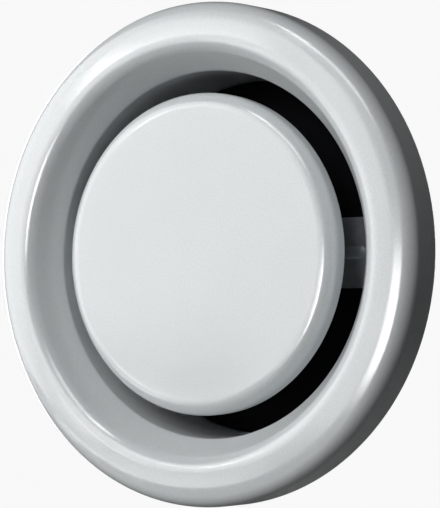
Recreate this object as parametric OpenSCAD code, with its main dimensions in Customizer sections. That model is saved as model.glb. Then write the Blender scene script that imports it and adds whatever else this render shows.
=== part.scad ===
// Extract air valve for a round duct: a pressed steel ring with a funnel and a collar,
// and a disc on a threaded spindle that screws through a bridge inside the collar.
// Sections are drawn as [radius, height], with height measured along the valve's axis
// from the wall plane towards the room. The finished valve faces -Y, with +Z up.

/* [Ring] */
// Outside diameter of the rim
rim_d = 164; // [156:1:174]
// Height of the face above the wall at the rim, before rounding
rim_h = 15.3; // [12:0.1:18]
// How far the rim's side leans in from the wall to the face
rim_draft = 0.5; // [0:0.1:1.5]
// Outside radius of the bend between the rim's side and the face
rim_round = 4.4; // [3:0.2:8]
// Width of the edge that is folded in against the wall
lip_w = 4; // [2.5:0.1:5]
// Outside radius of the bend at the wall
lip_round = 1.6; // [1.2:0.1:2.4]
// Diameter of the crest, where the face turns down into the funnel
crest_d = 134; // [128:0.2:144]
// Height of the crest above the wall, before rounding
crest_h = 16.6; // [14:0.1:20]
// Outside radius of the bend at the crest
crest_round = 6; // [2:0.5:8]
// Height at which the funnel meets the collar
throat_h = 6.4; // [3:0.1:9]
// Outside radius of the bend at the throat
throat_round = 2.5; // [1.5:0.1:4]
// Thickness of the ring's sheet
ring_t = 1; // [0.7:0.1:1.2]

/* [Collar] */
// Outside diameter of the collar that goes into the duct's sleeve
collar_d = 122; // [118:0.5:125]
// Length of the collar behind the wall plane
collar_len = 27; // [26:1:40]
// Number of bayonet slots in the collar's end
slot_n = 3; // [2:1:3]
// Width of a bayonet slot
slot_w = 7; // [5:0.5:9]
// How far a slot's entry runs in from the collar's end
slot_depth = 9; // [8:0.5:12]
// Angle over which a slot runs sideways from its entry
slot_run = 12; // [8:1:16]
// Height of the sideways run
slot_run_h = 4.5; // [3:0.5:6]
// Angle of the first slot, up from the right as seen from the room
slot_at = 30; // [25:5:35]

/* [Gasket] */
// Width of the foam gasket
gasket_w = 7.5; // [4:0.5:8]
// Gap between the gasket and the rim's folded edge
gasket_gap = 1; // [0.5:0.1:3]
// How far the gasket stands proud of the wall plane; 0 is as pressed
gasket_proud = 0; // [0:0.1:3]

/* [Disc] */
// Outside diameter of the disc
disc_d = 104.8; // [96:0.2:112]
// Height of the disc's front face above the wall, in the position shown
disc_h = 12.7; // [11:0.1:16]
// Depth of the disc from its front face to its back edge
disc_depth = 8.8; // [7:0.1:10]
// Outside radius of the disc's front edge
disc_round = 4.2; // [3:0.2:6]
// Width of the disc's back edge, which is folded in
disc_lip = 3; // [2.5:0.1:5]
// Outside radius of the bend at the disc's back edge
disc_lip_round = 1.5; // [1.2:0.1:2.2]
// Thickness of the disc's sheet
disc_t = 1; // [0.7:0.1:1.2]

/* [Hub] */
// Diameter of the plate that is welded to the back of the disc
hub_d = 40; // [34:1:60]
// Diameter of the plate's cup, which holds the spindle's head
hub_cup_d = 19; // [18:0.5:24]
// Depth of the cup
hub_cup_h = 3; // [2.6:0.1:3.6]
// Thickness of the plate
hub_t = 1.2; // [1:0.1:1.5]

/* [Bridge] */
// Width of the strap across the collar
bridge_w = 22.5; // [18:0.5:28]
// Thickness of the strap
bridge_t = 1.5; // [1:0.1:2]
// Distance of the strap's front behind the wall plane
bridge_back = 9; // [8.5:0.1:12]
// Length of the foot that lies along the collar's wall
foot_len = 11; // [8:0.5:11.5]
// Outside radius of the bend between strap and foot
foot_round = 3; // [2.5:0.5:5]
// Width of the stiffening bead along each side of the strap
bead_w = 4; // [3:0.5:5]
// Height of the stiffening bead
bead_h = 0.8; // [0.4:0.1:1]

/* [Spindle and nuts] */
// Thread diameter
thread_d = 8; // [6:1:8]
// Pitch of the thread: how far the disc travels in one turn
thread_pitch = 1.25; // [1:0.25:1.5]
// Length of the spindle under its head
spindle_len = 50; // [49:1:60]
// Thickness of the spindle's flat head
head_h = 2.8; // [2:0.1:2.8]
// Width of the hexagons across their flats
hex_w = 13; // [12:0.5:14]
// Thickness of the thin nut behind the disc
hub_nut_h = 4; // [3:0.5:4]
// Thickness of the lock nut
lock_nut_h = 6.5; // [4:0.5:7]
// Outside diameter of the washers
washer_d = 16; // [14:0.5:18]
// Thickness of the washers
washer_t = 1.2; // [1:0.1:1.6]
// Diameter of the threaded bush's flange
bush_flange_d = 17; // [15:0.5:20]
// Thickness of the bush's flange
bush_flange_t = 1.2; // [1:0.1:1.2]
// Diameter of the bush's body
bush_d = 11; // [10:0.5:12]
// How far the bush reaches behind the strap
bush_tail = 4.5; // [3:0.5:6]

/* [Clearances] */
// Gap on the radius between the thread and what it screws through
thread_gap = 0.05; // [0.02:0.01:0.1]
// Gap on the radius round the spindle in the washer and the hub plate
hole_gap = 0.25; // [0.1:0.05:0.5]
// Gap between faces that bear on each other
seat_gap = 0.05; // [0.02:0.01:0.1]
// End gap on each side of the spindle's head in its cup
head_gap = 0.1; // [0.05:0.01:0.2]

/* [Hidden] */
$fn = 128;

// Degrees of arc for each straight step in a rounded section
arc_angle = 6;
// Extra length that takes a cutter clear of what it cuts
over = 1;

rim_r = rim_d / 2;
crest_r = crest_d / 2;
collar_r = collar_d / 2;
collar_in_r = collar_r - ring_t;
disc_r = disc_d / 2;
disc_back_h = disc_h - disc_t;
// Corners of the ring's seen side from its folded edge to the collar's end, and their bends
ring_path = [
    [rim_r - lip_w, 0], [rim_r, 0], [rim_r - rim_draft, rim_h],
    [crest_r, crest_h], [collar_in_r, throat_h], [collar_in_r, -collar_len]
];
ring_bends = [lip_round, rim_round, crest_round, throat_round];
thread_r = thread_d / 2;
tapped_r = thread_r + thread_gap;
hole_r = thread_r + hole_gap;
bush_r = bush_d / 2;
bridge_r = collar_in_r - seat_gap;
bridge_rear = -bridge_back - bridge_t;
hub_rear = disc_back_h - hub_cup_h - hub_t;
bush_rear = bridge_rear - bush_tail;
hub_nut_top = hub_rear - washer_t - 2 * seat_gap;
washer_top = bush_rear - seat_gap;
lock_nut_top = washer_top - washer_t - seat_gap;
head_top = disc_back_h - head_gap;
head_under = head_top - head_h;
swage_t = 0.9;
swage_r = bush_r + 1.1;
tip_chamfer = 1;
hex_chamfer = 0.9;
driver_slot_w = 1.2;
driver_slot_h = 2;

// Unit vector at an angle, and the one to its left
function along(a) = [cos(a), sin(a)];
function leftward(a) = [-sin(a), cos(a)];
// Direction from p to q, and the turn from one direction to the next
function heading(p, q) = atan2(q[1] - p[1], q[0] - p[0]);
function turn(a, b) = let (d = b - a) d > 180 ? d - 360 : d <= -180 ? d + 360 : d;
function reversed(v) = [for (i = [len(v) - 1:-1:0]) v[i]];

// Corner q of a path from p to s, rounded with radius r, on a line that lies d to the left
function bend(p, q, s, r, d) =
    let (
        a = heading(p, q),
        t = turn(a, heading(q, s)),
        side = t < 0 ? -1 : 1,
        centre = q - r * tan(abs(t) / 2) * along(a) + side * r * leftward(a),
        n = max(2, ceil(abs(t) / arc_angle))
    )
    [for (i = [0:n]) centre + (r - side * d) * along(a - side * 90 + t * i / n)];

// One face of a bent sheet: the path with its corners rounded, moved d to the left
function sheet_face(path, radii, d) =
    let (
        last = len(path) - 1,
        first_way = leftward(heading(path[0], path[1])),
        last_way = leftward(heading(path[last - 1], path[last])),
        corners = [
            for (i = [1:last - 1])
                for (point = bend(path[i - 1], path[i], path[i + 1], radii[i - 1], d))
                    point
        ]
    )
    concat([path[0] + d * first_way], corners, [path[last] + d * last_way]);

// Section of a bent sheet with its outer face on the path and its thickness to the left
module sheet_section(path, radii, t) {
    polygon(concat(sheet_face(path, radii, 0), reversed(sheet_face(path, radii, t))));
}

// Turns what is modelled along +Z so that it faces the room
module facing_room() {
    rotate([90, 0, 0]) children();
}

// Cylinder between two heights on the valve's axis
module drum(r, from, to) {
    translate([0, 0, min(from, to)]) cylinder(r = r, h = abs(to - from));
}

// Hexagonal nut with chamfered corners, tapped for the spindle
module hex_nut(from, to) {
    low = min(from, to);
    high = max(from, to);
    corner_r = hex_w / 2 / cos(30);
    rise = hex_chamfer * tan(30);
    difference() {
        intersection() {
            translate([0, 0, low]) cylinder(r = corner_r, h = high - low, $fn = 6);
            rotate_extrude() polygon([
                [0, low], [corner_r - hex_chamfer, low], [corner_r, low + rise],
                [corner_r, high - rise], [corner_r - hex_chamfer, high], [0, high]
            ]);
        }
        drum(tapped_r, low - over, high + over);
    }
}

// Rim, face, funnel and collar, pressed from one sheet
module ring_sheet() {
    rotate_extrude() sheet_section(ring_path, ring_bends, ring_t);
}

// Part of a tube that is wider than the collar's wall, for cutting it
module wall_sector(from, to, angle) {
    rotate_extrude(angle = angle)
        translate([collar_in_r - over, from]) square([ring_t + 2 * over, to - from]);
}

// One L-shaped slot, open at the collar's end
module bayonet_slot() {
    entry = 2 * asin(slot_w / 2 / collar_r);
    inner = slot_depth - collar_len;
    rotate([0, 0, -entry / 2]) {
        wall_sector(-collar_len - over, inner, entry);
        wall_sector(inner - slot_run_h, inner, entry + slot_run);
    }
}

module ring() {
    color([0.9, 0.91, 0.92]) facing_room() difference() {
        ring_sheet();
        for (i = [0:slot_n - 1]) rotate([0, 0, slot_at + 360 / slot_n * i]) bayonet_slot();
    }
}

// Foam ring in the hollow of the rim, cut to the hidden side of the face above it
module gasket() {
    out_r = rim_r - lip_w - gasket_gap;
    color([0.16, 0.16, 0.17]) facing_room() intersection() {
        difference() {
            drum(out_r, -gasket_proud, crest_h);
            drum(out_r - gasket_w, -gasket_proud - over, crest_h + over);
        }
        rotate_extrude() polygon(concat(
            [[rim_r, -gasket_proud - over]],
            sheet_face(ring_path, ring_bends, ring_t + seat_gap)
        ));
    }
}

// Long shallow bar with sloped ends, along the strap on each side of the bush
module bead(top) {
    r = (bead_w * bead_w / 4 + bead_h * bead_h) / (2 * bead_h);
    ramp = 3 * bead_h;
    from = bush_flange_d / 2 + bead_w / 2;
    to = bridge_r - foot_round - bead_w;
    for (side = [0, 180]) rotate([0, 0, side]) translate([from, 0, top - r]) rotate([0, 90, 0]) {
        cylinder(r1 = r - bead_h, r2 = r, h = ramp);
        translate([0, 0, ramp]) cylinder(r = r, h = to - from - 2 * ramp);
        translate([0, 0, to - from - ramp]) cylinder(r1 = r, r2 = r - bead_h, h = ramp);
    }
}

// Strap with feet that follow the collar's wall
module strap() {
    intersection() {
        rotate_extrude() sheet_section(
            [
                [bridge_r, -bridge_back - foot_len], [bridge_r, -bridge_back],
                [bush_r + seat_gap, -bridge_back]
            ],
            [foot_round],
            bridge_t
        );
        cube([2 * rim_r, bridge_w, 4 * collar_len], center = true);
    }
}

// The strap with its beads, raised in front and hollow behind
module bridge() {
    color([0.78, 0.79, 0.8]) facing_room() difference() {
        union() {
            strap();
            difference() {
                bead(bead_h - bridge_back);
                translate([-rim_r, -rim_r, -rim_d - bridge_back - bridge_t / 2])
                    cube([rim_d, rim_d, rim_d]);
            }
        }
        bead(bead_h - bridge_back - bridge_t);
    }
}

// Threaded bush, flanged in front of the strap and swaged behind it
module bush() {
    color([0.82, 0.8, 0.72]) facing_room() difference() {
        union() {
            drum(bush_flange_d / 2, -bridge_back, bush_flange_t - bridge_back);
            drum(bush_r, bush_rear, -bridge_back);
            drum(swage_r, bridge_rear - swage_t, bridge_rear);
        }
        drum(tapped_r, bush_rear - over, bush_flange_t - bridge_back + over);
    }
}

// Disc pressed from one sheet, with a rounded edge that is folded in at the back
module disc() {
    back = disc_h - disc_depth;
    color([0.9, 0.91, 0.92]) facing_room() rotate_extrude() sheet_section(
        [[disc_r - disc_lip, back], [disc_r, back], [disc_r, disc_h], [0, disc_h]],
        [disc_lip_round, disc_round],
        disc_t
    );
}

// Plate welded to the back of the disc, with a cup for the spindle's head
module hub_plate() {
    cup_r = hub_cup_d / 2;
    cup_round = 1.4;
    color([0.78, 0.79, 0.8]) facing_room() rotate_extrude() sheet_section(
        [
            [hub_d / 2, disc_back_h], [cup_r + 1, disc_back_h],
            [cup_r, disc_back_h - hub_cup_h], [hole_r, disc_back_h - hub_cup_h]
        ],
        [cup_round, cup_round / 2],
        hub_t
    );
}

// Flat washer behind a plane on the spindle
module flat_washer(top) {
    difference() {
        drum(washer_d / 2, top - washer_t, top);
        drum(hole_r, top - washer_t - over, top + over);
    }
}

module hub_washer() {
    color([0.8, 0.8, 0.78]) facing_room() flat_washer(hub_rear - seat_gap);
}

// Thin nut that clamps the hub plate against the spindle's head
module hub_nut() {
    color([0.8, 0.8, 0.78]) facing_room() hex_nut(hub_nut_top, hub_nut_top - hub_nut_h);
}

// Flat-headed bolt, a plain rod at its thread's outside diameter, slotted at its rear end
module spindle() {
    tip = head_under - spindle_len;
    color([0.8, 0.8, 0.78]) facing_room() difference() {
        union() {
            translate([0, 0, head_under])
                cylinder(r = hex_w / 2 / cos(30), h = head_h, $fn = 6);
            drum(thread_r, tip + tip_chamfer, head_under);
            translate([0, 0, tip])
                cylinder(r1 = thread_r - tip_chamfer, r2 = thread_r, h = tip_chamfer);
        }
        translate([0, 0, tip])
            cube([thread_d + over, driver_slot_w, 2 * driver_slot_h], center = true);
    }
}

module lock_washer() {
    color([0.8, 0.8, 0.78]) facing_room() flat_washer(washer_top);
}

// Nut that locks the spindle against the back of the bush
module lock_nut() {
    color([0.8, 0.8, 0.78]) facing_room() hex_nut(lock_nut_top, lock_nut_top - lock_nut_h);
}

ring();
gasket();
bridge();
bush();
disc();
hub_plate();
hub_washer();
hub_nut();
spindle();
lock_washer();
lock_nut();
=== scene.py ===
import math
from types import SimpleNamespace

import bpy
import numpy as np
from bpy.props import FloatProperty, FloatVectorProperty, IntProperty, PointerProperty
from bpy.types import Operator, Panel, PropertyGroup
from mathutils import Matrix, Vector


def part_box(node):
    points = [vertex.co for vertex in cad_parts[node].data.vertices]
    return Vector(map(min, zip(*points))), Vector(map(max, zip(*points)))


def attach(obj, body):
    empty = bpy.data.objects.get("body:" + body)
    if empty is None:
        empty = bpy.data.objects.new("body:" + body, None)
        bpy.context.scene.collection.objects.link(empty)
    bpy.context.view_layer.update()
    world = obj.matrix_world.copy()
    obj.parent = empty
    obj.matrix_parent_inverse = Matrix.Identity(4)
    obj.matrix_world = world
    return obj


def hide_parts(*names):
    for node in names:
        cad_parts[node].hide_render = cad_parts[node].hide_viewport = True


bl_info = {
    "name": "Extract Air Valve",
    "version": (1, 0, 0),
    "blender": (4, 5, 0),
    "location": "View3D > Sidebar > Air Valve",
    "description": "Surfaces, finishes and studio for a round extract air valve",
    "category": "Add Mesh",
}

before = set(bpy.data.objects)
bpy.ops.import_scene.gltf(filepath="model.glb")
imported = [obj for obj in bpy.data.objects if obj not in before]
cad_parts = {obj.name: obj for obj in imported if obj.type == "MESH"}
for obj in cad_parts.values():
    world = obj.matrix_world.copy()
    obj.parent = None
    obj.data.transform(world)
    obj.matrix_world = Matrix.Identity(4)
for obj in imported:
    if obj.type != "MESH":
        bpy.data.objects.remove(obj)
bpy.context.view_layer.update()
MM = 0.001
TAU = 2 * math.pi

# The valve's axis is Y. It faces -Y, so heights above the wall plane are minus y.
# Property groups hold metres and radians; the functions work in millimetres and radians.


def node_size(node):
    """Lowest and highest corner of a CAD node, in millimetres."""
    low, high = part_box(node)
    return np.array(low) / MM, np.array(high) / MM


RING_HIGH = node_size("ring")[1]
GASKET_HIGH = node_size("gasket")[1]
DISC_LOW, DISC_HIGH = node_size("disc")
SPINDLE_LOW, SPINDLE_HIGH = node_size("spindle")

# How finely each piece is divided, in steps round the axis.
RING_COLUMNS = 360
DISC_COLUMNS = 256
GASKET_COLUMNS = 240
THREAD_COLUMNS = 32
THREAD_ROWS_A_TURN = 16
SLOT_STEPS = 12

# How far a cut sheet's edge bulges, how far a cutter reaches past what it cuts, and the air
# between the foam and the wall plane, in millimetres.
EDGE_ROUND = 0.12
CUTTER_REACH = 1.5
WALL_GAP = 0.02


# Sizes and colours

class RingSettings(PropertyGroup):
    rim_lean: FloatProperty(
        name="Rim Lean", description="How far the rim's side leans in",
        default=0.0005, unit="LENGTH")
    rim_height: FloatProperty(
        name="Rim Height", description="Height of the face at the rim, before the shoulder's fall",
        default=0.0153, unit="LENGTH")
    rim_bend: FloatProperty(
        name="Rim Bend", description="Outside radius between side and face",
        default=0.0048, unit="LENGTH")
    shoulder_radius: FloatProperty(
        name="Shoulder Radius", description="Distance from the axis where the face starts to fall",
        default=0.0756, unit="LENGTH")
    shoulder_tilt: FloatProperty(
        name="Shoulder Tilt", description="Angle at which the shoulder falls",
        default=math.radians(12.5), subtype="ANGLE")
    shoulder_bend: FloatProperty(
        name="Shoulder Bend", description="Outside radius where the face starts to fall",
        default=0.016, unit="LENGTH")
    lip_width: FloatProperty(
        name="Lip Width", description="Width of the edge folded against the wall",
        default=0.004, unit="LENGTH")
    lip_bend: FloatProperty(
        name="Lip Bend", description="Outside radius at the wall", default=0.0016, unit="LENGTH")
    crest_radius: FloatProperty(
        name="Crest Radius", description="Distance of the crest from the axis",
        default=0.067, unit="LENGTH")
    crest_height: FloatProperty(
        name="Crest Height", description="Height of the crest", default=0.0166, unit="LENGTH")
    crest_bend: FloatProperty(
        name="Crest Bend", description="Outside radius at the crest",
        default=0.006, unit="LENGTH")
    collar_inside: FloatProperty(
        name="Collar Inside", description="Inside radius of the collar",
        default=0.060, unit="LENGTH")
    throat_height: FloatProperty(
        name="Throat Height", description="Height where the funnel meets the collar",
        default=0.005, unit="LENGTH")
    throat_bend: FloatProperty(
        name="Throat Bend", description="Outside radius at the throat",
        default=0.0025, unit="LENGTH")
    sheet: FloatProperty(
        name="Sheet", description="Thickness of the ring's sheet", default=0.001, unit="LENGTH")
    slots: IntProperty(
        name="Slots", description="Number of bayonet slots in the collar", default=3)
    slot_width: FloatProperty(
        name="Slot Width", description="Width of a slot's entry", default=0.007, unit="LENGTH")
    slot_depth: FloatProperty(
        name="Slot Depth", description="Length of a slot's entry", default=0.009, unit="LENGTH")
    slot_height: FloatProperty(
        name="Slot Height", description="Height of a slot's sideways run",
        default=0.0045, unit="LENGTH")
    slot_run: FloatProperty(
        name="Slot Run", description="Angle that a slot runs sideways",
        default=math.radians(12), subtype="ANGLE")
    slot_at: FloatProperty(
        name="Slot At", description="Angle from the right to the first slot",
        default=math.radians(30), subtype="ANGLE")


class DiscSettings(PropertyGroup):
    edge_bend: FloatProperty(
        name="Edge Bend", description="Outside radius of the front edge",
        default=0.0042, unit="LENGTH")
    shoulder_width: FloatProperty(
        name="Shoulder Width", description="From the edge to where the front starts to fall",
        default=0.0048, unit="LENGTH")
    shoulder_tilt: FloatProperty(
        name="Shoulder Tilt", description="Angle at which the shoulder falls",
        default=math.radians(10), subtype="ANGLE")
    shoulder_bend: FloatProperty(
        name="Shoulder Bend", description="Outside radius where the front starts to fall",
        default=0.008, unit="LENGTH")
    lip_width: FloatProperty(
        name="Lip Width", description="Width of the folded back edge",
        default=0.003, unit="LENGTH")
    lip_bend: FloatProperty(
        name="Lip Bend", description="Outside radius of the back edge",
        default=0.0015, unit="LENGTH")
    sheet: FloatProperty(
        name="Sheet", description="Thickness of the disc's sheet", default=0.001, unit="LENGTH")


class SpindleSettings(PropertyGroup):
    thread_radius: FloatProperty(
        name="Thread Radius", description="Outside radius of the thread",
        default=0.004, unit="LENGTH")
    thread_pitch: FloatProperty(
        name="Thread Pitch", description="Travel in one turn", default=0.00125, unit="LENGTH")
    thread_depth: FloatProperty(
        name="Thread Depth", description="Depth of the thread", default=0.00072, unit="LENGTH")
    head_height: FloatProperty(
        name="Head Height", description="Thickness of the spindle's head",
        default=0.0028, unit="LENGTH")
    head_chamfer: FloatProperty(
        name="Head Chamfer", description="How much the head's front corners are taken off",
        default=0.0005, unit="LENGTH")
    tip_chamfer: FloatProperty(
        name="Tip Chamfer", description="Depth of the cone that cuts the thread's end",
        default=0.001, unit="LENGTH")
    driver_width: FloatProperty(
        name="Driver Slot Width", description="Width of the screwdriver slot in the end",
        default=0.0012, unit="LENGTH")
    driver_depth: FloatProperty(
        name="Driver Slot Depth", description="Depth of the screwdriver slot in the end",
        default=0.002, unit="LENGTH")


class GasketSettings(PropertyGroup):
    width: FloatProperty(
        name="Width", description="From the gasket's inside to its outside",
        default=0.0075, unit="LENGTH")
    gap_outside: FloatProperty(
        name="Gap Outside", description="Air under the sheet at the outer edge",
        default=0.0006, unit="LENGTH")
    gap_inside: FloatProperty(
        name="Gap Inside", description="Air under the sheet at the inner edge",
        default=0.0014, unit="LENGTH")
    corner: FloatProperty(
        name="Corner", description="Radius of the foam's soft corners",
        default=0.0007, unit="LENGTH")


class FinishSettings(PropertyGroup):
    coat_colour: FloatVectorProperty(
        name="Coat", description="Colour of the powder coat",
        subtype="COLOR", size=3, min=0, max=1, default=(0.765, 0.80, 0.81))
    coat_roughness: FloatProperty(
        name="Coat Roughness", description="Roughness of the powder coat",
        subtype="FACTOR", min=0, max=1, default=0.15)
    coat_waviness: FloatProperty(
        name="Coat Waviness", description="Strength of the coat's unevenness",
        subtype="FACTOR", min=0, max=1, default=0.12)
    zinc_colour: FloatVectorProperty(
        name="Zinc", description="Colour of the zinc",
        subtype="COLOR", size=3, min=0, max=1, default=(0.42, 0.44, 0.46))
    foam_colour: FloatVectorProperty(
        name="Foam", description="Colour of the gasket",
        subtype="COLOR", size=3, min=0, max=1, default=(0.02, 0.02, 0.022))


class StudioSettings(PropertyGroup):
    turn: FloatProperty(
        name="Camera Turn", description="Angle to the right of the valve's axis",
        default=math.radians(34.6), subtype="ANGLE")
    lift: FloatProperty(
        name="Camera Lift", description="Angle above the valve's axis",
        default=math.radians(-1.84), subtype="ANGLE")
    distance: FloatProperty(
        name="Camera Distance", description="From the camera to the middle of the wall plane",
        default=0.5629, unit="LENGTH")
    lens: FloatProperty(
        name="Lens", description="Focal length of the camera", default=121.3, unit="CAMERA")
    aim_right: FloatProperty(
        name="Aim Right", description="How far the camera stands to the right of its line",
        default=0.00178, unit="LENGTH")
    aim_up: FloatProperty(
        name="Aim Up", description="How far the camera stands above its line",
        default=0.0002, unit="LENGTH")


def in_millimetres(settings):
    """The values of a property group by name, with its lengths in millimetres."""
    kinds = settings.bl_rna.properties
    values = {key: getattr(settings, key) for key in type(settings).__annotations__}
    return SimpleNamespace(**{
        key: value / MM if kinds[key].unit == "LENGTH" else value
        for key, value in values.items()
    })


# Sections and surfaces

def arc_corner(before, corner, after, radius, offset, degrees_a_step=3.0):
    """Points of a corner rounded with a radius, on a line that lies offset to the path's left.

    The centre lies radius away from both legs; each point is the centre plus the reduced
    or enlarged radius in a direction that turns evenly from one leg's normal to the other's.
    """
    before, corner, after = (np.array(p, float) for p in (before, corner, after))
    way_in = (corner - before) / np.linalg.norm(corner - before)
    way_out = (after - corner) / np.linalg.norm(after - corner)
    turn = math.atan2(way_in[0] * way_out[1] - way_in[1] * way_out[0], way_in @ way_out)
    side = -1.0 if turn < 0 else 1.0
    left = np.array([-way_in[1], way_in[0]])
    centre = corner - radius * math.tan(abs(turn) / 2) * way_in + side * radius * left
    steps = max(2, math.ceil(math.degrees(abs(turn)) / degrees_a_step))
    first = math.atan2(way_in[1], way_in[0]) - side * math.pi / 2
    angles = first + turn * np.linspace(0, 1, steps + 1)
    return centre + (radius - side * offset) * np.stack([np.cos(angles), np.sin(angles)], 1)


def sheet_line(path, radii, offset, longest=4.0):
    """One face of a bent sheet: the path with rounded corners, moved sideways by offset.

    Straight stretches are divided evenly, so that no step is longer than the given length.
    """
    path = np.array(path, float)
    ways = np.diff(path, axis=0)
    ways /= np.linalg.norm(ways, axis=1)[:, None]
    left = np.stack([-ways[:, 1], ways[:, 0]], 1)
    rows = [path[:1] + offset * left[:1]]
    for i, radius in enumerate(radii):
        rows.append(arc_corner(path[i], path[i + 1], path[i + 2], radius, offset))
    rows.append(path[-1:] + offset * left[-1:])
    points = np.concatenate(rows)
    dense = [points[:1]]
    for start, end in zip(points[:-1], points[1:]):
        count = max(1, math.ceil(np.linalg.norm(end - start) / longest))
        share = np.linspace(0, 1, count + 1)[1:, None]
        dense.append(start + share * (end - start))
    return np.concatenate(dense)


def sheet_loop(path, radii, thickness, lip):
    """Closed section of a bent sheet: its outer face, an end, its inner face and the other end."""
    outer = sheet_line(path, radii, 0.0)
    inner = sheet_line(path, radii, thickness)[::-1]

    def rounded_end(a, b):
        """Half an ellipse from a to b, as deep as the lip: cosine along, sine outwards."""
        middle, half = (a + b) / 2, (b - a) / 2
        out = np.array([half[1], -half[0]])
        out /= np.linalg.norm(out)
        t = np.linspace(0, math.pi, 7)[1:-1, None]
        return middle - np.cos(t) * half + np.sin(t) * out * lip

    return np.concatenate([
        outer, rounded_end(outer[-1], inner[0]), inner, rounded_end(inner[-1], outer[0])
    ])


def soft_corners(corners, radius, longest=1.5):
    """A closed outline with every corner rounded by an arc, divided into even short steps."""
    count = len(corners)
    rounded = np.concatenate([
        arc_corner(corners[i - 1], corners[i], corners[(i + 1) % count], radius, 0.0,
                   degrees_a_step=15.0)
        for i in range(count)
    ])
    dense = []
    for start, end in zip(rounded, np.roll(rounded, -1, axis=0)):
        steps = max(1, math.ceil(np.linalg.norm(end - start) / longest))
        share = np.linspace(0, 1, steps, endpoint=False)[:, None]
        dense.append(start + share * (end - start))
    return np.concatenate(dense)


def full_turn(columns):
    """Angles of a full turn in even steps."""
    return np.arange(columns) * TAU / columns


def grid_faces(columns, rows, closed_columns, closed_rows):
    """Quads of a grid of points that are numbered column by column, closed or open each way."""
    i = np.arange(columns if closed_columns else columns - 1)[:, None]
    j = np.arange(rows if closed_rows else rows - 1)[None, :]
    next_i, next_j = (i + 1) % columns, (j + 1) % rows
    return np.stack([
        i * rows + j, next_i * rows + j, next_i * rows + next_j, i * rows + next_j
    ], 2).reshape(-1, 4)


def spun(section, columns, closed_section=True):
    """A section of radius and height carried round the axis, as points and quads.

    x is the radius times the cosine of the angle, z is the radius times its sine, and y is
    minus the height.
    """
    angles = full_turn(columns)[:, None]
    radius, height = section[:, 0][None, :], section[:, 1][None, :]
    x, z = radius * np.cos(angles), radius * np.sin(angles)
    points = np.stack([x, np.broadcast_to(-height, x.shape), z], 2).reshape(-1, 3)
    return points, grid_faces(columns, len(section), True, closed_section)


def volume_sign(points, quads):
    """Sign of the volume that the quads enclose, which is positive when they point outwards."""
    a, b, c, d = (points[quads[:, k]] for k in range(4))
    total = np.einsum("ij,ij->", a, np.cross(b, c)) + np.einsum("ij,ij->", a, np.cross(c, d))
    return 1 if total > 0 else -1


def outward(points, quads):
    """The quads, turned over if they enclose a negative volume."""
    return quads if volume_sign(points, quads) > 0 else quads[:, ::-1]


def capped(points, quads, columns, rows):
    """A tube's quads and the two flat ends that close it, as faces that point outwards."""
    first = (np.arange(columns) * rows).tolist()
    last = [index + rows - 1 for index in first]
    faces = quads.tolist() + [first[::-1], last]
    return faces if volume_sign(points, quads) > 0 else [face[::-1] for face in faces]


def mesh_piece(name, points, faces, smooth=True):
    """Puts points in millimetres, and faces as an array or a list, into a new mesh object."""
    mesh = bpy.data.meshes.new(name)
    faces = faces.tolist() if isinstance(faces, np.ndarray) else faces
    mesh.from_pydata((np.asarray(points) * MM).tolist(), [], faces)
    mesh.validate()
    mesh.update()
    mesh.polygons.foreach_set("use_smooth", np.full(len(mesh.polygons), smooth))
    piece = bpy.data.objects.new(name, mesh)
    bpy.context.scene.collection.objects.link(piece)
    return piece


def cut_away(piece, cutters):
    """Cuts the cutters out of a piece, keeps the result as its mesh and removes the cutters."""
    for cutter in cutters:
        step = piece.modifiers.new("slot", "BOOLEAN")
        step.operation, step.solver, step.object = "DIFFERENCE", "EXACT", cutter
    made = piece.evaluated_get(bpy.context.evaluated_depsgraph_get())
    spent = [piece.data] + [cutter.data for cutter in cutters]
    mesh = bpy.data.meshes.new_from_object(made)
    piece.modifiers.clear()
    piece.data = mesh
    for cutter in cutters:
        bpy.data.objects.remove(cutter)
    for mesh in spent:
        bpy.data.meshes.remove(mesh)


def dress(piece, body, slot, material, *nodes):
    """Gives a new piece its body and finish, hides the CAD nodes it stands for; slot is not used.
    """
    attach(piece, body)
    if nodes:
        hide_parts(*nodes)
    piece.data.materials.clear()
    piece.data.materials.append(material)


# Finishes

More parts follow.
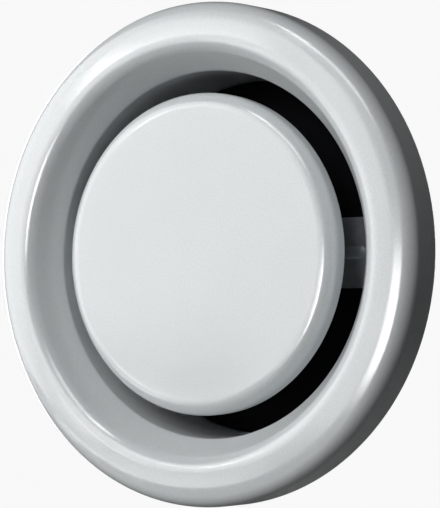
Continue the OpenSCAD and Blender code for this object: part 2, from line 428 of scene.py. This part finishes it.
class Finish:
    """Short ways to place nodes in one node tree."""

    def __init__(self, tree):
        self.tree = tree

    def feed(self, socket, value):
        """Links a socket to another node's output, or sets it to a value."""
        if isinstance(value, bpy.types.NodeSocket):
            self.tree.links.new(value, socket)
        else:
            socket.default_value = value

    def node(self, kind, inputs=None, **settings):
        """A new node with its settings made and its inputs fed."""
        made = self.tree.nodes.new(kind)
        for key, value in settings.items():
            setattr(made, key, value)
        for key, value in (inputs or {}).items():
            self.feed(made.inputs[key], value)
        return made

    def maths(self, operation, a, b):
        return self.node("ShaderNodeMath", {0: a, 1: b}, operation=operation).outputs[0]

    def spread(self, value, low, high):
        """Stretches the values from low to high over 0 to 1, and cuts off the rest."""
        return self.node("ShaderNodeMapRange", {
            "Value": value, "From Min": low, "From Max": high
        }).outputs["Result"]

    def noise(self, place, scale, detail, roughness=0.5, distortion=0.0):
        return self.node("ShaderNodeTexNoise", {
            "Vector": place, "Scale": scale, "Detail": detail, "Roughness": roughness,
            "Distortion": distortion
        }).outputs["Fac"]

    def cells(self, place, scale, output):
        """Voronoi cells, read as a colour for each cell or as the distance from its middle."""
        return self.node("ShaderNodeTexVoronoi", {
            "Vector": place, "Scale": scale, "Randomness": 1.0
        }, feature="F1").outputs[output]

    def mix(self, share, a, b):
        """A colour between a and b; the numbers are the colour sockets of the Mix node."""
        return self.node("ShaderNodeMix", {0: share, 6: a, 7: b}, data_type="RGBA").outputs[2]

    def relief(self, height, strength, distance):
        """Normals of a bumpy surface; the distance is the depth of the bumps in metres."""
        return self.node("ShaderNodeBump", {
            "Strength": strength, "Distance": distance, "Height": height
        }).outputs["Normal"]

    def grain(self, place, wave_scale, grain_scale, grain_share):
        """The outputs of a surface grain group with a material's own values."""
        return self.node("ShaderNodeGroup", {
            "Place": place, "Wave Scale": wave_scale, "Grain Scale": grain_scale,
            "Grain Share": grain_share
        }, node_tree=surface_grain_group()).outputs

    def marks(self, place, smudge_scale=30.0, scuff_scale=160.0):
        """The outputs of a handling marks group with a material's own values."""
        return self.node("ShaderNodeGroup", {
            "Place": place, "Smudge Scale": smudge_scale, "Scuff Scale": scuff_scale
        }, node_tree=handling_group()).outputs

    def surface(self, shader, output="ShaderNodeOutputMaterial"):
        """Places the output node behind the last shader."""
        self.node(output, {"Surface": shader.outputs[0]})


def new_group(name, inputs, outputs):
    """A node group with a place and float inputs and with float outputs, and its end nodes."""
    group = bpy.data.node_groups.new(name, "ShaderNodeTree")
    group.interface.new_socket("Place", in_out="INPUT", socket_type="NodeSocketVector")
    for label, value in inputs.items():
        socket = group.interface.new_socket(label, in_out="INPUT", socket_type="NodeSocketFloat")
        socket.default_value = value
    for label in outputs:
        group.interface.new_socket(label, in_out="OUTPUT", socket_type="NodeSocketFloat")
    build = Finish(group)
    return group, build, build.node("NodeGroupInput").outputs, build.node("NodeGroupOutput").inputs


def surface_grain_group():
    """Broad waves, as in a sprayed coat, with a finer grain on them, and slow cloudy patches."""
    name = "surface_grain"
    if name in bpy.data.node_groups:
        return bpy.data.node_groups[name]
    group, build, given, result = new_group(
        name, {"Wave Scale": 600.0, "Grain Scale": 3000.0, "Grain Share": 0.3},
        ["Height", "Patches"])
    waves = build.noise(given["Place"], given["Wave Scale"], detail=2.0, roughness=0.45)
    fine = build.noise(given["Place"], given["Grain Scale"], detail=1.0)
    height = build.maths("ADD", waves, build.maths("MULTIPLY", fine, given["Grain Share"]))
    build.feed(result["Height"], height)
    patches = build.noise(given["Place"], 22.0, detail=3.0, roughness=0.6)
    build.feed(result["Patches"], patches)
    return group


def handling_group():
    """Smudges and fine scuffs from handling, as two masks."""
    name = "handling_marks"
    if name in bpy.data.node_groups:
        return bpy.data.node_groups[name]
    group, build, given, result = new_group(
        name, {"Smudge Scale": 30.0, "Scuff Scale": 160.0}, ["Smudges", "Scuffs"])
    smudge = build.noise(given["Place"], given["Smudge Scale"],
                         detail=4.0, roughness=0.6, distortion=0.8)
    scuff = build.noise(given["Place"], given["Scuff Scale"],
                        detail=3.0, roughness=0.7, distortion=2.5)
    build.feed(result["Smudges"], build.spread(smudge, low=0.45, high=0.72))
    build.feed(result["Scuffs"], build.spread(scuff, low=0.66, high=0.78))
    return group


def new_material(name):
    """A material with an empty node tree, and the tree's builder."""
    material = bpy.data.materials.new(name)
    material.use_nodes = True
    material.node_tree.nodes.clear()
    return material, Finish(material.node_tree)


def object_place(build):
    """Coordinates of the object, in which all patterns lie."""
    return build.node("ShaderNodeTexCoord").outputs["Object"]


def tuned(colour, factor):
    """A colour made lighter or darker by a factor, with full alpha."""
    return tuple(min(1.0, c * factor) for c in colour) + (1.0,)


def powder_coat(settings):
    """White powder coat: glossy, with the faint waviness of a fused coat and slight cloudiness."""
    name = "white_powder_coat"
    if name in bpy.data.materials:
        return bpy.data.materials[name]
    material, build = new_material(name)
    place, colour = object_place(build), settings.coat_colour
    grain = build.grain(place, wave_scale=420.0, grain_scale=2600.0, grain_share=0.22)
    cloudy = build.spread(grain["Patches"], low=0.35, high=0.65)
    tone = build.mix(cloudy, tuned(colour, 0.97), tuned(colour, 1.01))
    specks = build.spread(build.noise(place, 1500.0, detail=1.0), low=0.3, high=0.7)
    tone = build.mix(specks, tone, build.mix(0.6, tone, tuned(colour, 0.9)))
    smudged = build.maths("MULTIPLY", build.marks(place)["Smudges"], 0.05)
    build.surface(build.node("ShaderNodeBsdfPrincipled", {
        "Base Color": tone,
        "Roughness": build.maths("ADD", settings.coat_roughness, smudged),
        "IOR": 1.5,
        "Normal": build.relief(grain["Height"], settings.coat_waviness, distance=0.00012)
    }))
    return material


def zinc_sheet(settings):
    """Galvanised strip: dull zinc with a faint spangle, a fine grain, smudges and scuffs."""
    name = "galvanised_strip"
    if name in bpy.data.materials:
        return bpy.data.materials[name]
    material, build = new_material(name)
    place, colour = object_place(build), settings.zinc_colour
    spangle = build.node("ShaderNodeSeparateColor", {0: build.cells(place, 330.0, "Color")})
    shade = spangle.outputs[0]
    grain = build.grain(place, wave_scale=900.0, grain_scale=5200.0, grain_share=0.5)
    marks = build.marks(place)
    tone = build.mix(shade, tuned(colour, 0.86), tuned(colour, 1.12))
    smudged = build.maths("MULTIPLY", marks["Smudges"], 0.4)
    rough = build.maths("ADD", 0.5, build.maths("MULTIPLY", shade, 0.14))
    scuffed = build.maths("MULTIPLY", marks["Scuffs"], 0.15)
    height = build.maths("ADD", grain["Height"], build.maths("MULTIPLY", shade, 0.5))
    build.surface(build.node("ShaderNodeBsdfPrincipled", {
        "Base Color": build.mix(smudged, tone, tuned(colour, 0.72)),
        "Metallic": 1.0,
        "Roughness": build.maths("ADD", rough, scuffed),
        "Normal": build.relief(height, strength=0.25, distance=0.00006)
    }))
    return material


def zinc_plate(settings, name="bright_zinc_plate", warm=0.0, roughness=0.27):
    """Electroplated zinc on turned steel: brighter, with a bluish or slightly warm cast."""
    if name in bpy.data.materials:
        return bpy.data.materials[name]
    material, build = new_material(name)
    place = object_place(build)
    cast = (1.08 + warm, 1.07 + warm * 0.5, 1.07 - warm)
    colour = tuple(part * share for part, share in zip(settings.zinc_colour, cast))
    grain = build.grain(place, wave_scale=1500.0, grain_scale=8000.0, grain_share=0.6)
    marks = build.marks(place, smudge_scale=120.0, scuff_scale=500.0)
    smudged = build.maths("MULTIPLY", marks["Smudges"], 0.5)
    scuffed = build.maths("MULTIPLY", marks["Scuffs"], 0.2)
    build.surface(build.node("ShaderNodeBsdfPrincipled", {
        "Base Color": build.mix(smudged, tuned(colour, 1.0), tuned(colour, 0.8)),
        "Metallic": 1.0,
        "Roughness": build.maths("ADD", roughness, scuffed),
        "Normal": build.relief(grain["Height"], strength=0.2, distance=0.00004)
    }))
    return material


def foam(settings):
    """Closed-cell foam: near black, matt, small burst cells of two sizes, painted shade in pits.
    """
    name = "cell_foam"
    if name in bpy.data.materials:
        return bpy.data.materials[name]
    material, build = new_material(name)
    place, colour = object_place(build), settings.foam_colour
    small = build.spread(build.cells(place, 1400.0, "Distance"), low=0.1, high=0.6)
    large = build.spread(build.cells(place, 620.0, "Distance"), low=0.05, high=0.35)
    pits_and_painted_shade = build.maths("MINIMUM", small, large)
    build.surface(build.node("ShaderNodeBsdfPrincipled", {
        # Painted shade: the pits' bottoms, which the bump makes deepest, are coloured darker.
        "Base Color": build.mix(pits_and_painted_shade, tuned(colour, 0.5), tuned(colour, 1.5)),
        "Roughness": 0.92,
        "Specular IOR Level": 0.25,
        "Normal": build.relief(pits_and_painted_shade, strength=0.8, distance=0.0003)
    }))
    return material


# Pieces

def face_slope(s):
    """How much the ring's face falls from the crest to the rim, for each millimetre outwards."""
    return (s.crest_height - s.rim_height) / (RING_HIGH[2] - s.rim_lean - s.crest_radius)


class VALVE_OT_ring(Operator):
    """Makes the ring: rim, face, funnel and collar spun from one sheet, with its bayonet slots"""
    bl_idname = "valve.ring"
    bl_label = "Ring"

    def execute(self, context):
        s = in_millimetres(context.scene.valve_ring)
        rim = RING_HIGH[2]
        shoulder = s.crest_height - face_slope(s) * (s.shoulder_radius - s.crest_radius)
        drop = (rim - s.rim_lean - s.shoulder_radius) * math.tan(s.shoulder_tilt)
        path = [
            [rim - s.lip_width, 0], [rim, 0], [rim - s.rim_lean, shoulder - drop],
            [s.shoulder_radius, shoulder], [s.crest_radius, s.crest_height],
            [s.collar_inside, s.throat_height], [s.collar_inside, -RING_HIGH[1]]
        ]
        radii = [s.lip_bend, s.rim_bend, s.shoulder_bend, s.crest_bend, s.throat_bend]
        points, quads = spun(sheet_loop(path, radii, s.sheet, EDGE_ROUND), RING_COLUMNS)
        piece = mesh_piece("ring_pressing", points, outward(points, quads))
        cut_away(piece, slot_cutters(s))
        dress(piece, "valve_body", "powder_coat", powder_coat(context.scene.valve_finish), "ring")
        return {"FINISHED"}


def slot_cutters(s):
    """Cutters for the bayonet slots: an entry from the collar's end and a run to one side.

    Each is a rectangle of radius and y, carried through an angle round the axis and closed
    by the rectangle at both ends.
    """
    rear = RING_HIGH[1]
    inner, outer = s.collar_inside - CUTTER_REACH, s.collar_inside + s.sheet + CUTTER_REACH
    entry = 2 * math.asin(s.slot_width / 2 / (s.collar_inside + s.sheet))
    deep = rear - s.slot_depth
    ends = np.array([[0, 1, 2, 3], [3, 2, 1, 0]]) + np.array([[0], [4 * SLOT_STEPS]])
    quads = np.concatenate([grid_faces(SLOT_STEPS + 1, 4, False, True), ends])
    cutters = []
    for i in range(s.slots):
        start = s.slot_at + TAU / s.slots * i - entry / 2
        for label, wide, low, high in (
                ("slot_entry", entry, deep, rear + CUTTER_REACH),
                ("slot_run", entry + s.slot_run, deep, deep + s.slot_height)):
            angles = np.linspace(start, start + wide, SLOT_STEPS + 1)[:, None]
            radius = np.array([inner, outer, outer, inner])[None, :]
            x, z = radius * np.cos(angles), radius * np.sin(angles)
            y = np.broadcast_to([low, low, high, high], x.shape)
            points = np.stack([x, y, z], 2).reshape(-1, 3)
            cutters.append(mesh_piece(label, points, outward(points, quads), smooth=False))
    return cutters


class VALVE_OT_disc(Operator):
    """Makes the disc: one pressed sheet with a rounded edge that is folded in at the back"""
    bl_idname = "valve.disc"
    bl_label = "Disc"

    def execute(self, context):
        s = in_millimetres(context.scene.valve_disc)
        edge, front, back = DISC_HIGH[2], -DISC_LOW[1], -DISC_HIGH[1]
        drop = s.shoulder_width * math.tan(s.shoulder_tilt)
        path = [
            [edge - s.lip_width, back], [edge, back], [edge, front - drop],
            [edge - s.shoulder_width, front], [0, front]
        ]
        points, faces = disc_surface(path, [s.lip_bend, s.edge_bend, s.shoulder_bend], s.sheet)
        piece = mesh_piece("disc_pressing", points, faces)
        dress(piece, "disc", "powder_coat", powder_coat(context.scene.valve_finish), "disc")
        return {"FINISHED"}


def disc_surface(path, radii, sheet):
    """The disc's sheet, spun from a section that starts and ends near the axis.

    The section runs from the front's middle round the edge to the inner face's middle, and a
    fan of triangles closes each middle.
    """
    outer, inner = (sheet_line(path, radii, offset, longest=3.0) for offset in (0.0, sheet))
    lip = (outer[0] + inner[0]) / 2 - np.array([EDGE_ROUND, 0.0])
    section = np.concatenate([outer[-2::-1], [lip], inner[:-1]])
    points, quads = spun(section, DISC_COLUMNS, closed_section=False)
    front_middle, back_middle = len(points), len(points) + 1
    points = np.concatenate([points, [[0, -outer[-1, 1], 0], [0, -inner[-1, 1], 0]]])
    first = np.arange(DISC_COLUMNS) * len(section)
    last = first + len(section) - 1
    front_fan = [np.full(DISC_COLUMNS, front_middle), np.roll(first, -1), first]
    back_fan = [np.full(DISC_COLUMNS, back_middle), last, np.roll(last, -1)]
    faces = quads.tolist() + np.stack(front_fan, 1).tolist() + np.stack(back_fan, 1).tolist()
    return points, faces if volume_sign(points, quads) > 0 else [face[::-1] for face in faces]


class VALVE_OT_spindle(Operator):
    """Makes the spindle with its rolled thread, its flat hexagonal head and the slot in its end"""
    bl_idname = "valve.spindle"
    bl_label = "Spindle"

    def execute(self, context):
        s = in_millimetres(context.scene.valve_spindle)
        front, rear = SPINDLE_LOW[1], SPINDLE_HIGH[1]
        under_head = front + s.head_height
        rod = mesh_piece("spindle_rod", *thread_surface(s, under_head, rear))
        reach = s.thread_radius + 2
        low = [-reach, rear - s.driver_depth, -s.driver_width / 2]
        high = [reach, rear + s.driver_depth, s.driver_width / 2]
        cut_away(rod, [mesh_piece("driver_slot", *block_surface(low, high), smooth=False)])
        flat = (SPINDLE_HIGH[2] - SPINDLE_LOW[2]) / 2
        hexagon = hex_surface(flat, front, under_head, s.head_chamfer)
        head = mesh_piece("spindle_head", *hexagon, smooth=False)
        finish = zinc_plate(context.scene.valve_finish, "spindle_zinc", roughness=0.3)
        dress(rod, "disc", "zinc_plate", finish, "spindle")
        dress(head, "disc", "zinc_plate", finish)
        return {"FINISHED"}


def thread_surface(s, start, end):
    """A rod with a helical thread: the radius falls in a blunted V as the place runs on a helix.

    At an angle and a distance along the axis, the phase is the distance over the pitch plus
    the angle over a full turn; the radius is the crest's where the phase is a whole number,
    and less by the depth half way between. A cone takes the crests off towards the end.
    """
    root_share, flank_share = 0.12, 0.76
    count = round((end - start) / s.thread_pitch * THREAD_ROWS_A_TURN)
    along = np.linspace(start, end, count + 1)[None, :]
    angle = full_turn(THREAD_COLUMNS)[:, None]
    ridge = np.abs((along / s.thread_pitch + angle / TAU) % 1.0 - 0.5) * 2
    profile = np.clip((ridge - root_share) / flank_share, 0, 1)
    core = s.thread_radius - s.tip_chamfer
    r = s.thread_radius - s.thread_depth * (1 - profile)
    r = np.clip(np.minimum(r, core + end - along), core, s.thread_radius)
    points = np.stack([
        r * np.cos(angle), np.broadcast_to(along, r.shape), r * np.sin(angle)
    ], 2).reshape(-1, 3)
    quads = grid_faces(THREAD_COLUMNS, count + 1, True, False)
    return points, capped(points, quads, THREAD_COLUMNS, count + 1)


def hex_surface(flat, low, high, chamfer):
    """A hexagonal block along Y: six steps round the axis, with its front corners taken off.

    A corner's radius is half the width across flats over the cosine of 30 degrees. The chamfer
    goes in by its own size and back by a little more than half of it.
    """
    corner = flat / math.cos(math.pi / 6)
    chamfer_depth = 0.6 * chamfer
    section = np.array([
        [corner - chamfer, -low], [corner, -(low + chamfer_depth)], [corner, -high]
    ])
    points, quads = spun(section, 6, closed_section=False)
    return points, capped(points, quads, 6, 3)


def block_surface(low, high):
    """The eight corners between two opposite ones, and the six faces, pointing outwards."""
    x, y, z = zip(low, high)
    points = np.array([[x[i], y[j], z[k]] for i in (0, 1) for j in (0, 1) for k in (0, 1)])
    faces = [[0, 1, 3, 2], [4, 6, 7, 5], [0, 4, 5, 1], [2, 3, 7, 6], [0, 2, 6, 4], [1, 5, 7, 3]]
    return points, faces


class VALVE_OT_gasket(Operator):
    """Makes the foam gasket: a ring with soft edges, a little uneven where the foam was cut"""
    bl_idname = "valve.gasket"
    bl_label = "Gasket"

    def execute(self, context):
        ring = in_millimetres(context.scene.valve_ring)
        s = in_millimetres(context.scene.valve_gasket)
        outer = GASKET_HIGH[2]
        inner = outer - s.width
        under = ring.crest_height - ring.sheet
        slope = face_slope(ring)
        corners = [
            [inner, WALL_GAP], [outer, WALL_GAP],
            [outer, under - s.gap_outside - (outer - ring.crest_radius) * slope],
            [inner, under - s.gap_inside - (inner - ring.crest_radius) * slope]
        ]
        section = soft_corners(corners, s.corner)
        points, quads = spun(section, GASKET_COLUMNS)
        points = uneven(points, section, (inner + outer) / 2, s.width / 2)
        piece = mesh_piece("foam_gasket", points, outward(points, quads))
        dress(piece, "valve_body", "foam", foam(context.scene.valve_finish), "gasket")
        return {"FINISHED"}


def uneven(points, section, middle, half_width):
    """The spun section with its two sides moved in and out, as a blade leaves foam.

    The move is a small even step inwards plus half of two sine waves of 7 and 17 rounds in a
    turn, in the direction of the radius. It is scaled by the distance from the middle.
    """
    grid = points.reshape(GASKET_COLUMNS, len(section), 3)
    turn = full_turn(GASKET_COLUMNS)[:, None]
    radius, height = section[:, 0][None, :], section[:, 1][None, :]
    waves = 0.10 * np.sin(7 * turn + height * 0.5) + 0.07 * np.sin(17 * turn + 1.3 + height)
    side = (radius - middle) / half_width
    share = 1 - (0.12 + 0.5 * waves * side) * side / np.hypot(grid[..., 0], grid[..., 2])
    return (grid * np.stack([share, np.ones_like(share), share], 2)).reshape(-1, 3)


class VALVE_OT_metalwork(Operator):
    """Finishes the bridge, bush, hub plate, washers and nuts, which keep their CAD shapes"""
    bl_idname = "valve.metalwork"
    bl_label = "Metalwork"

    def execute(self, context):
        s = context.scene.valve_finish
        strip, plate = zinc_sheet(s), zinc_plate(s)
        finishes = {
            "bridge": strip, "hub_plate": strip,
            "bush": zinc_plate(s, "bush_zinc", warm=0.05, roughness=0.3),
            "hub_washer": plate, "hub_nut": plate, "lock_washer": plate, "lock_nut": plate,
        }
        for node, finish in finishes.items():
            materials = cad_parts[node].data.materials
            if not materials:
                materials.append(finish)
            for index in range(len(materials)):
                materials[index] = finish
        return {"FINISHED"}


# Studio

# Each lamp: name, degrees to the right of the valve's axis, degrees above it, side in metres
# and power in watts.
LAMPS = (
    ("front", 2.0, 25.0, 0.6, 6.9),
    ("left", -52.0, 5.0, 0.6, 5.0),
    ("back", 180.0, 0.0, 0.25, 5.5),
)
LAMP_DISTANCE = 1.2

# Each card: name, the same two angles, distance, width and height in metres, strength, and the
# share of its width over which its edges fade.
CARDS = (
    ("softbox_left", -42.0, 3.0, 1.2, 1.7, 1.6, 5.4, 0.2),
    ("softbox_side", -110.0, 5.0, 1.2, 1.4, 1.5, 4.0, 0.3),
    ("softbox_low", -44.0, -29.0, 1.2, 1.0, 0.8, 7.5, 0.3),
    ("softbox_top", 0.0, 36.0, 1.2, 0.8, 0.5, 6.0, 0.3),
    ("softbox_back", 180.0, 4.0, 1.2, 0.7, 0.7, 2.6, 0.3),
    ("patch_left", -43.0, 16.0, 1.1, 0.22, 0.15, 15.0, 0.25),
    ("crest_patch", -42.0, -9.0, 1.1, 0.34, 0.22, 8.0, 0.3),
    ("disc_strip", -34.0, 19.0, 1.1, 0.35, 0.08, 13.0, 0.3),
    ("front_right", -2.0, -8.0, 1.0, 0.36, 0.44, 20.0, 0.3),
    ("top_card", -14.0, 40.0, 1.0, 0.2, 0.4, 14.0, 0.3),
)


class VALVE_OT_studio(Operator):
    """Makes the floor, the backdrop, the painted shade inside the collar, the lamps, the world and
    the camera
    """
    bl_idname = "valve.studio"
    bl_label = "Studio"

    def execute(self, context):
        make_backdrop()
        make_painted_interior_shade()
        make_lamps()
        for card in CARDS:
            add_card(*card)
        make_world(context.scene)
        make_camera(context.scene, context.scene.valve_studio)
        context.scene.view_settings.view_transform = "Standard"
        return {"FINISHED"}


def make_backdrop():
    """Pale floor that curves up into a backdrop: straight, a quarter circle, then straight.

    It looks white to the camera, and a small share of plain paper keeps the valve's shadow.
    """
    wide, front, bend_at, bend, top, drop = 2400.0, -1800.0, 900.0, 400.0, 2600.0, 420.0
    turn = np.linspace(0, math.pi / 2, 17)
    run = np.concatenate([[front], bend_at + bend * np.sin(turn), [bend_at + bend]])
    rise = np.concatenate([[0], bend - bend * np.cos(turn), [top]]) - drop
    across = np.array([-wide, wide])[:, None]
    points = np.stack(np.broadcast_arrays(across, run[None, :], rise[None, :]), 2).reshape(-1, 3)
    floor = mesh_piece("studio_floor", points, grid_faces(2, len(run), False, False))
    material, build = new_material("studio_paper")
    seen = build.node("ShaderNodeLightPath").outputs["Is Camera Ray"]
    paper = build.node("ShaderNodeBsdfDiffuse", {"Color": (0.25, 0.25, 0.25, 1)})
    white = build.node("ShaderNodeEmission", {"Color": (1, 1, 1, 1), "Strength": 1.0})
    build.surface(build.node("ShaderNodeMixShader", {
        0: build.maths("MULTIPLY", seen, 0.94), 1: paper.outputs[0], 2: white.outputs[0]
    }))
    floor.data.materials.append(material)


def make_painted_interior_shade():
    """Painted shade: a near black circle just inside the collar's end, for the shade inside the
    valve.

    It stops what comes from the front, and lets pass what has come in from behind, so the
    view from behind shows the collar open.
    """
    sides, radius, inset = 128, 60.3, 1.0
    angles = full_turn(sides)
    y = np.full(sides, RING_HIGH[1] - inset)
    points = np.stack([radius * np.cos(angles), y, radius * np.sin(angles)], 1)
    shade = mesh_piece("painted_shade_sheet", points, [list(range(sides))], smooth=False)
    material, build = new_material("duct_dark")
    passed = build.node("ShaderNodeLightPath").outputs["Transparent Depth"]
    rear = build.node("ShaderNodeNewGeometry").outputs["Backfacing"]
    clear = build.node("ShaderNodeBsdfTransparent")
    # Painted shade: this near black sheet makes the inside of the collar read as shaded from the
    # front.
    dark = build.node("ShaderNodeBsdfDiffuse", {"Color": (0.01, 0.01, 0.012, 1)})
    build.surface(build.node("ShaderNodeMixShader", {
        0: build.maths("LESS_THAN", build.maths("ADD", passed, rear), 0.5),
        1: clear.outputs[0], 2: dark.outputs[0]
    }))
    shade.data.materials.append(material)


def toward(turn, lift):
    """Unit vector from the valve, turned to the right of its axis and lifted above it."""
    flat = math.cos(lift)
    return np.array([math.sin(turn) * flat, -math.cos(turn) * flat, math.sin(lift)])


def make_lamps():
    """Square lamps that light the valve evenly, and don't show in its gloss."""
    for name, turn, lift, size, power in LAMPS:
        lamp = bpy.data.lights.new(name, "AREA")
        lamp.shape, lamp.size, lamp.size_y = "RECTANGLE", size, size
        lamp.energy = power
        holder = bpy.data.objects.new(name, lamp)
        holder.location = toward(math.radians(turn), math.radians(lift)) * LAMP_DISTANCE
        holder.rotation_euler = (-holder.location).to_track_quat("-Z", "Y").to_euler()
        holder.visible_glossy = False
        bpy.context.scene.collection.objects.link(holder)


def add_card(name, turn, lift, distance, width, height, radiance, soft):
    """Bright card, square to its line from the valve, that only reflections see.

    Its strength is the product of two fades, each a smooth step from an edge inwards.
    """
    turn, lift = math.radians(turn), math.radians(lift)
    out = toward(turn, lift)
    side = np.array([math.cos(turn), math.sin(turn), 0.0])
    up = np.cross(side, out)
    corners = np.array([[-1, -1], [1, -1], [1, 1], [-1, 1]]) / 2
    points = out * distance + corners[:, :1] * side * width + corners[:, 1:] * up * height
    card = mesh_piece(name, points / MM, [[0, 1, 2, 3]], smooth=False)
    layer = card.data.uv_layers.new(name="UVMap")
    layer.data.foreach_set("uv", (corners + 0.5).ravel())
    material, build = new_material(name)
    place = build.node("ShaderNodeTexCoord").outputs["UV"]
    across = build.node("ShaderNodeSeparateXYZ", {0: place}).outputs
    strength = radiance
    for axis in ("X", "Y"):
        edge = build.maths("MINIMUM", across[axis], build.maths("SUBTRACT", 1.0, across[axis]))
        fade = build.node("ShaderNodeMapRange", {"Value": edge, "From Max": soft},
                          interpolation_type="SMOOTHSTEP")
        strength = build.maths("MULTIPLY", strength, fade.outputs["Result"])
    build.surface(build.node("ShaderNodeEmission", {"Strength": strength}))
    card.data.materials.append(material)
    card.visible_camera = card.visible_diffuse = card.visible_shadow = False


def make_world(scene):
    """White where the camera looks past the studio, dim in reflections, nearly dark otherwise."""
    world = bpy.data.worlds.new("studio_world")
    scene.world = world
    world.use_nodes = True
    world.node_tree.nodes.clear()
    build = Finish(world.node_tree)
    path = build.node("ShaderNodeLightPath").outputs
    glow = build.maths("ADD", 0.02, build.maths("MULTIPLY", path["Is Glossy Ray"], 0.12))
    white = build.node("ShaderNodeBackground", {"Color": (0.96, 0.96, 0.96, 1), "Strength": 1.0})
    dim = build.node("ShaderNodeBackground", {"Color": (0.9, 0.95, 1.0, 1), "Strength": glow})
    build.surface(build.node("ShaderNodeMixShader", {
        0: path["Is Camera Ray"], 1: dim.outputs[0], 2: white.outputs[0]
    }), "ShaderNodeOutputWorld")


def make_camera(scene, s):
    """Camera at the photograph's angle, looking along its line and moved a little aside."""
    back = Vector(toward(s.turn, s.lift))
    right = Vector((math.cos(s.turn), math.sin(s.turn), 0))
    up = right.cross(-back)
    lens = bpy.data.cameras.new("studio_camera")
    lens.lens, lens.sensor_width = s.lens, 36.0
    lens.clip_start, lens.clip_end = 0.01, 20
    camera = bpy.data.objects.new("studio_camera", lens)
    camera.location = back * s.distance + right * s.aim_right + up * s.aim_up
    camera.rotation_euler = (-back).to_track_quat("-Z", "Y").to_euler()
    scene.collection.objects.link(camera)
    scene.camera = camera


# Panel and registration

SETTINGS = {
    "valve_ring": RingSettings, "valve_disc": DiscSettings, "valve_spindle": SpindleSettings,
    "valve_gasket": GasketSettings, "valve_finish": FinishSettings, "valve_studio": StudioSettings,
}
STEPS = (
    VALVE_OT_ring, VALVE_OT_disc, VALVE_OT_spindle, VALVE_OT_gasket, VALVE_OT_metalwork,
    VALVE_OT_studio,
)


class VALVE_PT_sidebar(Panel):
    bl_idname = "VALVE_PT_sidebar"
    bl_label = "Extract Air Valve"
    bl_space_type = "VIEW_3D"
    bl_region_type = "UI"
    bl_category = "Air Valve"

    def draw(self, context):
        for name, settings in SETTINGS.items():
            column = self.layout.column(align=True)
            for key in settings.__annotations__:
                column.prop(getattr(context.scene, name), key)
        for operator in STEPS:
            self.layout.operator(operator.bl_idname)


CLASSES = tuple(SETTINGS.values()) + STEPS + (VALVE_PT_sidebar,)


def register():
    for item in CLASSES:
        bpy.utils.register_class(item)
    for name, group in SETTINGS.items():
        setattr(bpy.types.Scene, name, PointerProperty(type=group))


def unregister():
    for name in SETTINGS:
        delattr(bpy.types.Scene, name)
    for item in reversed(CLASSES):
        bpy.utils.unregister_class(item)


def main():
    """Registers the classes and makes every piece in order."""
    register()
    bpy.ops.valve.ring()
    bpy.ops.valve.disc()
    bpy.ops.valve.spindle()
    bpy.ops.valve.gasket()
    bpy.ops.valve.metalwork()
    bpy.ops.valve.studio()


if __name__ == "__main__":
    main()
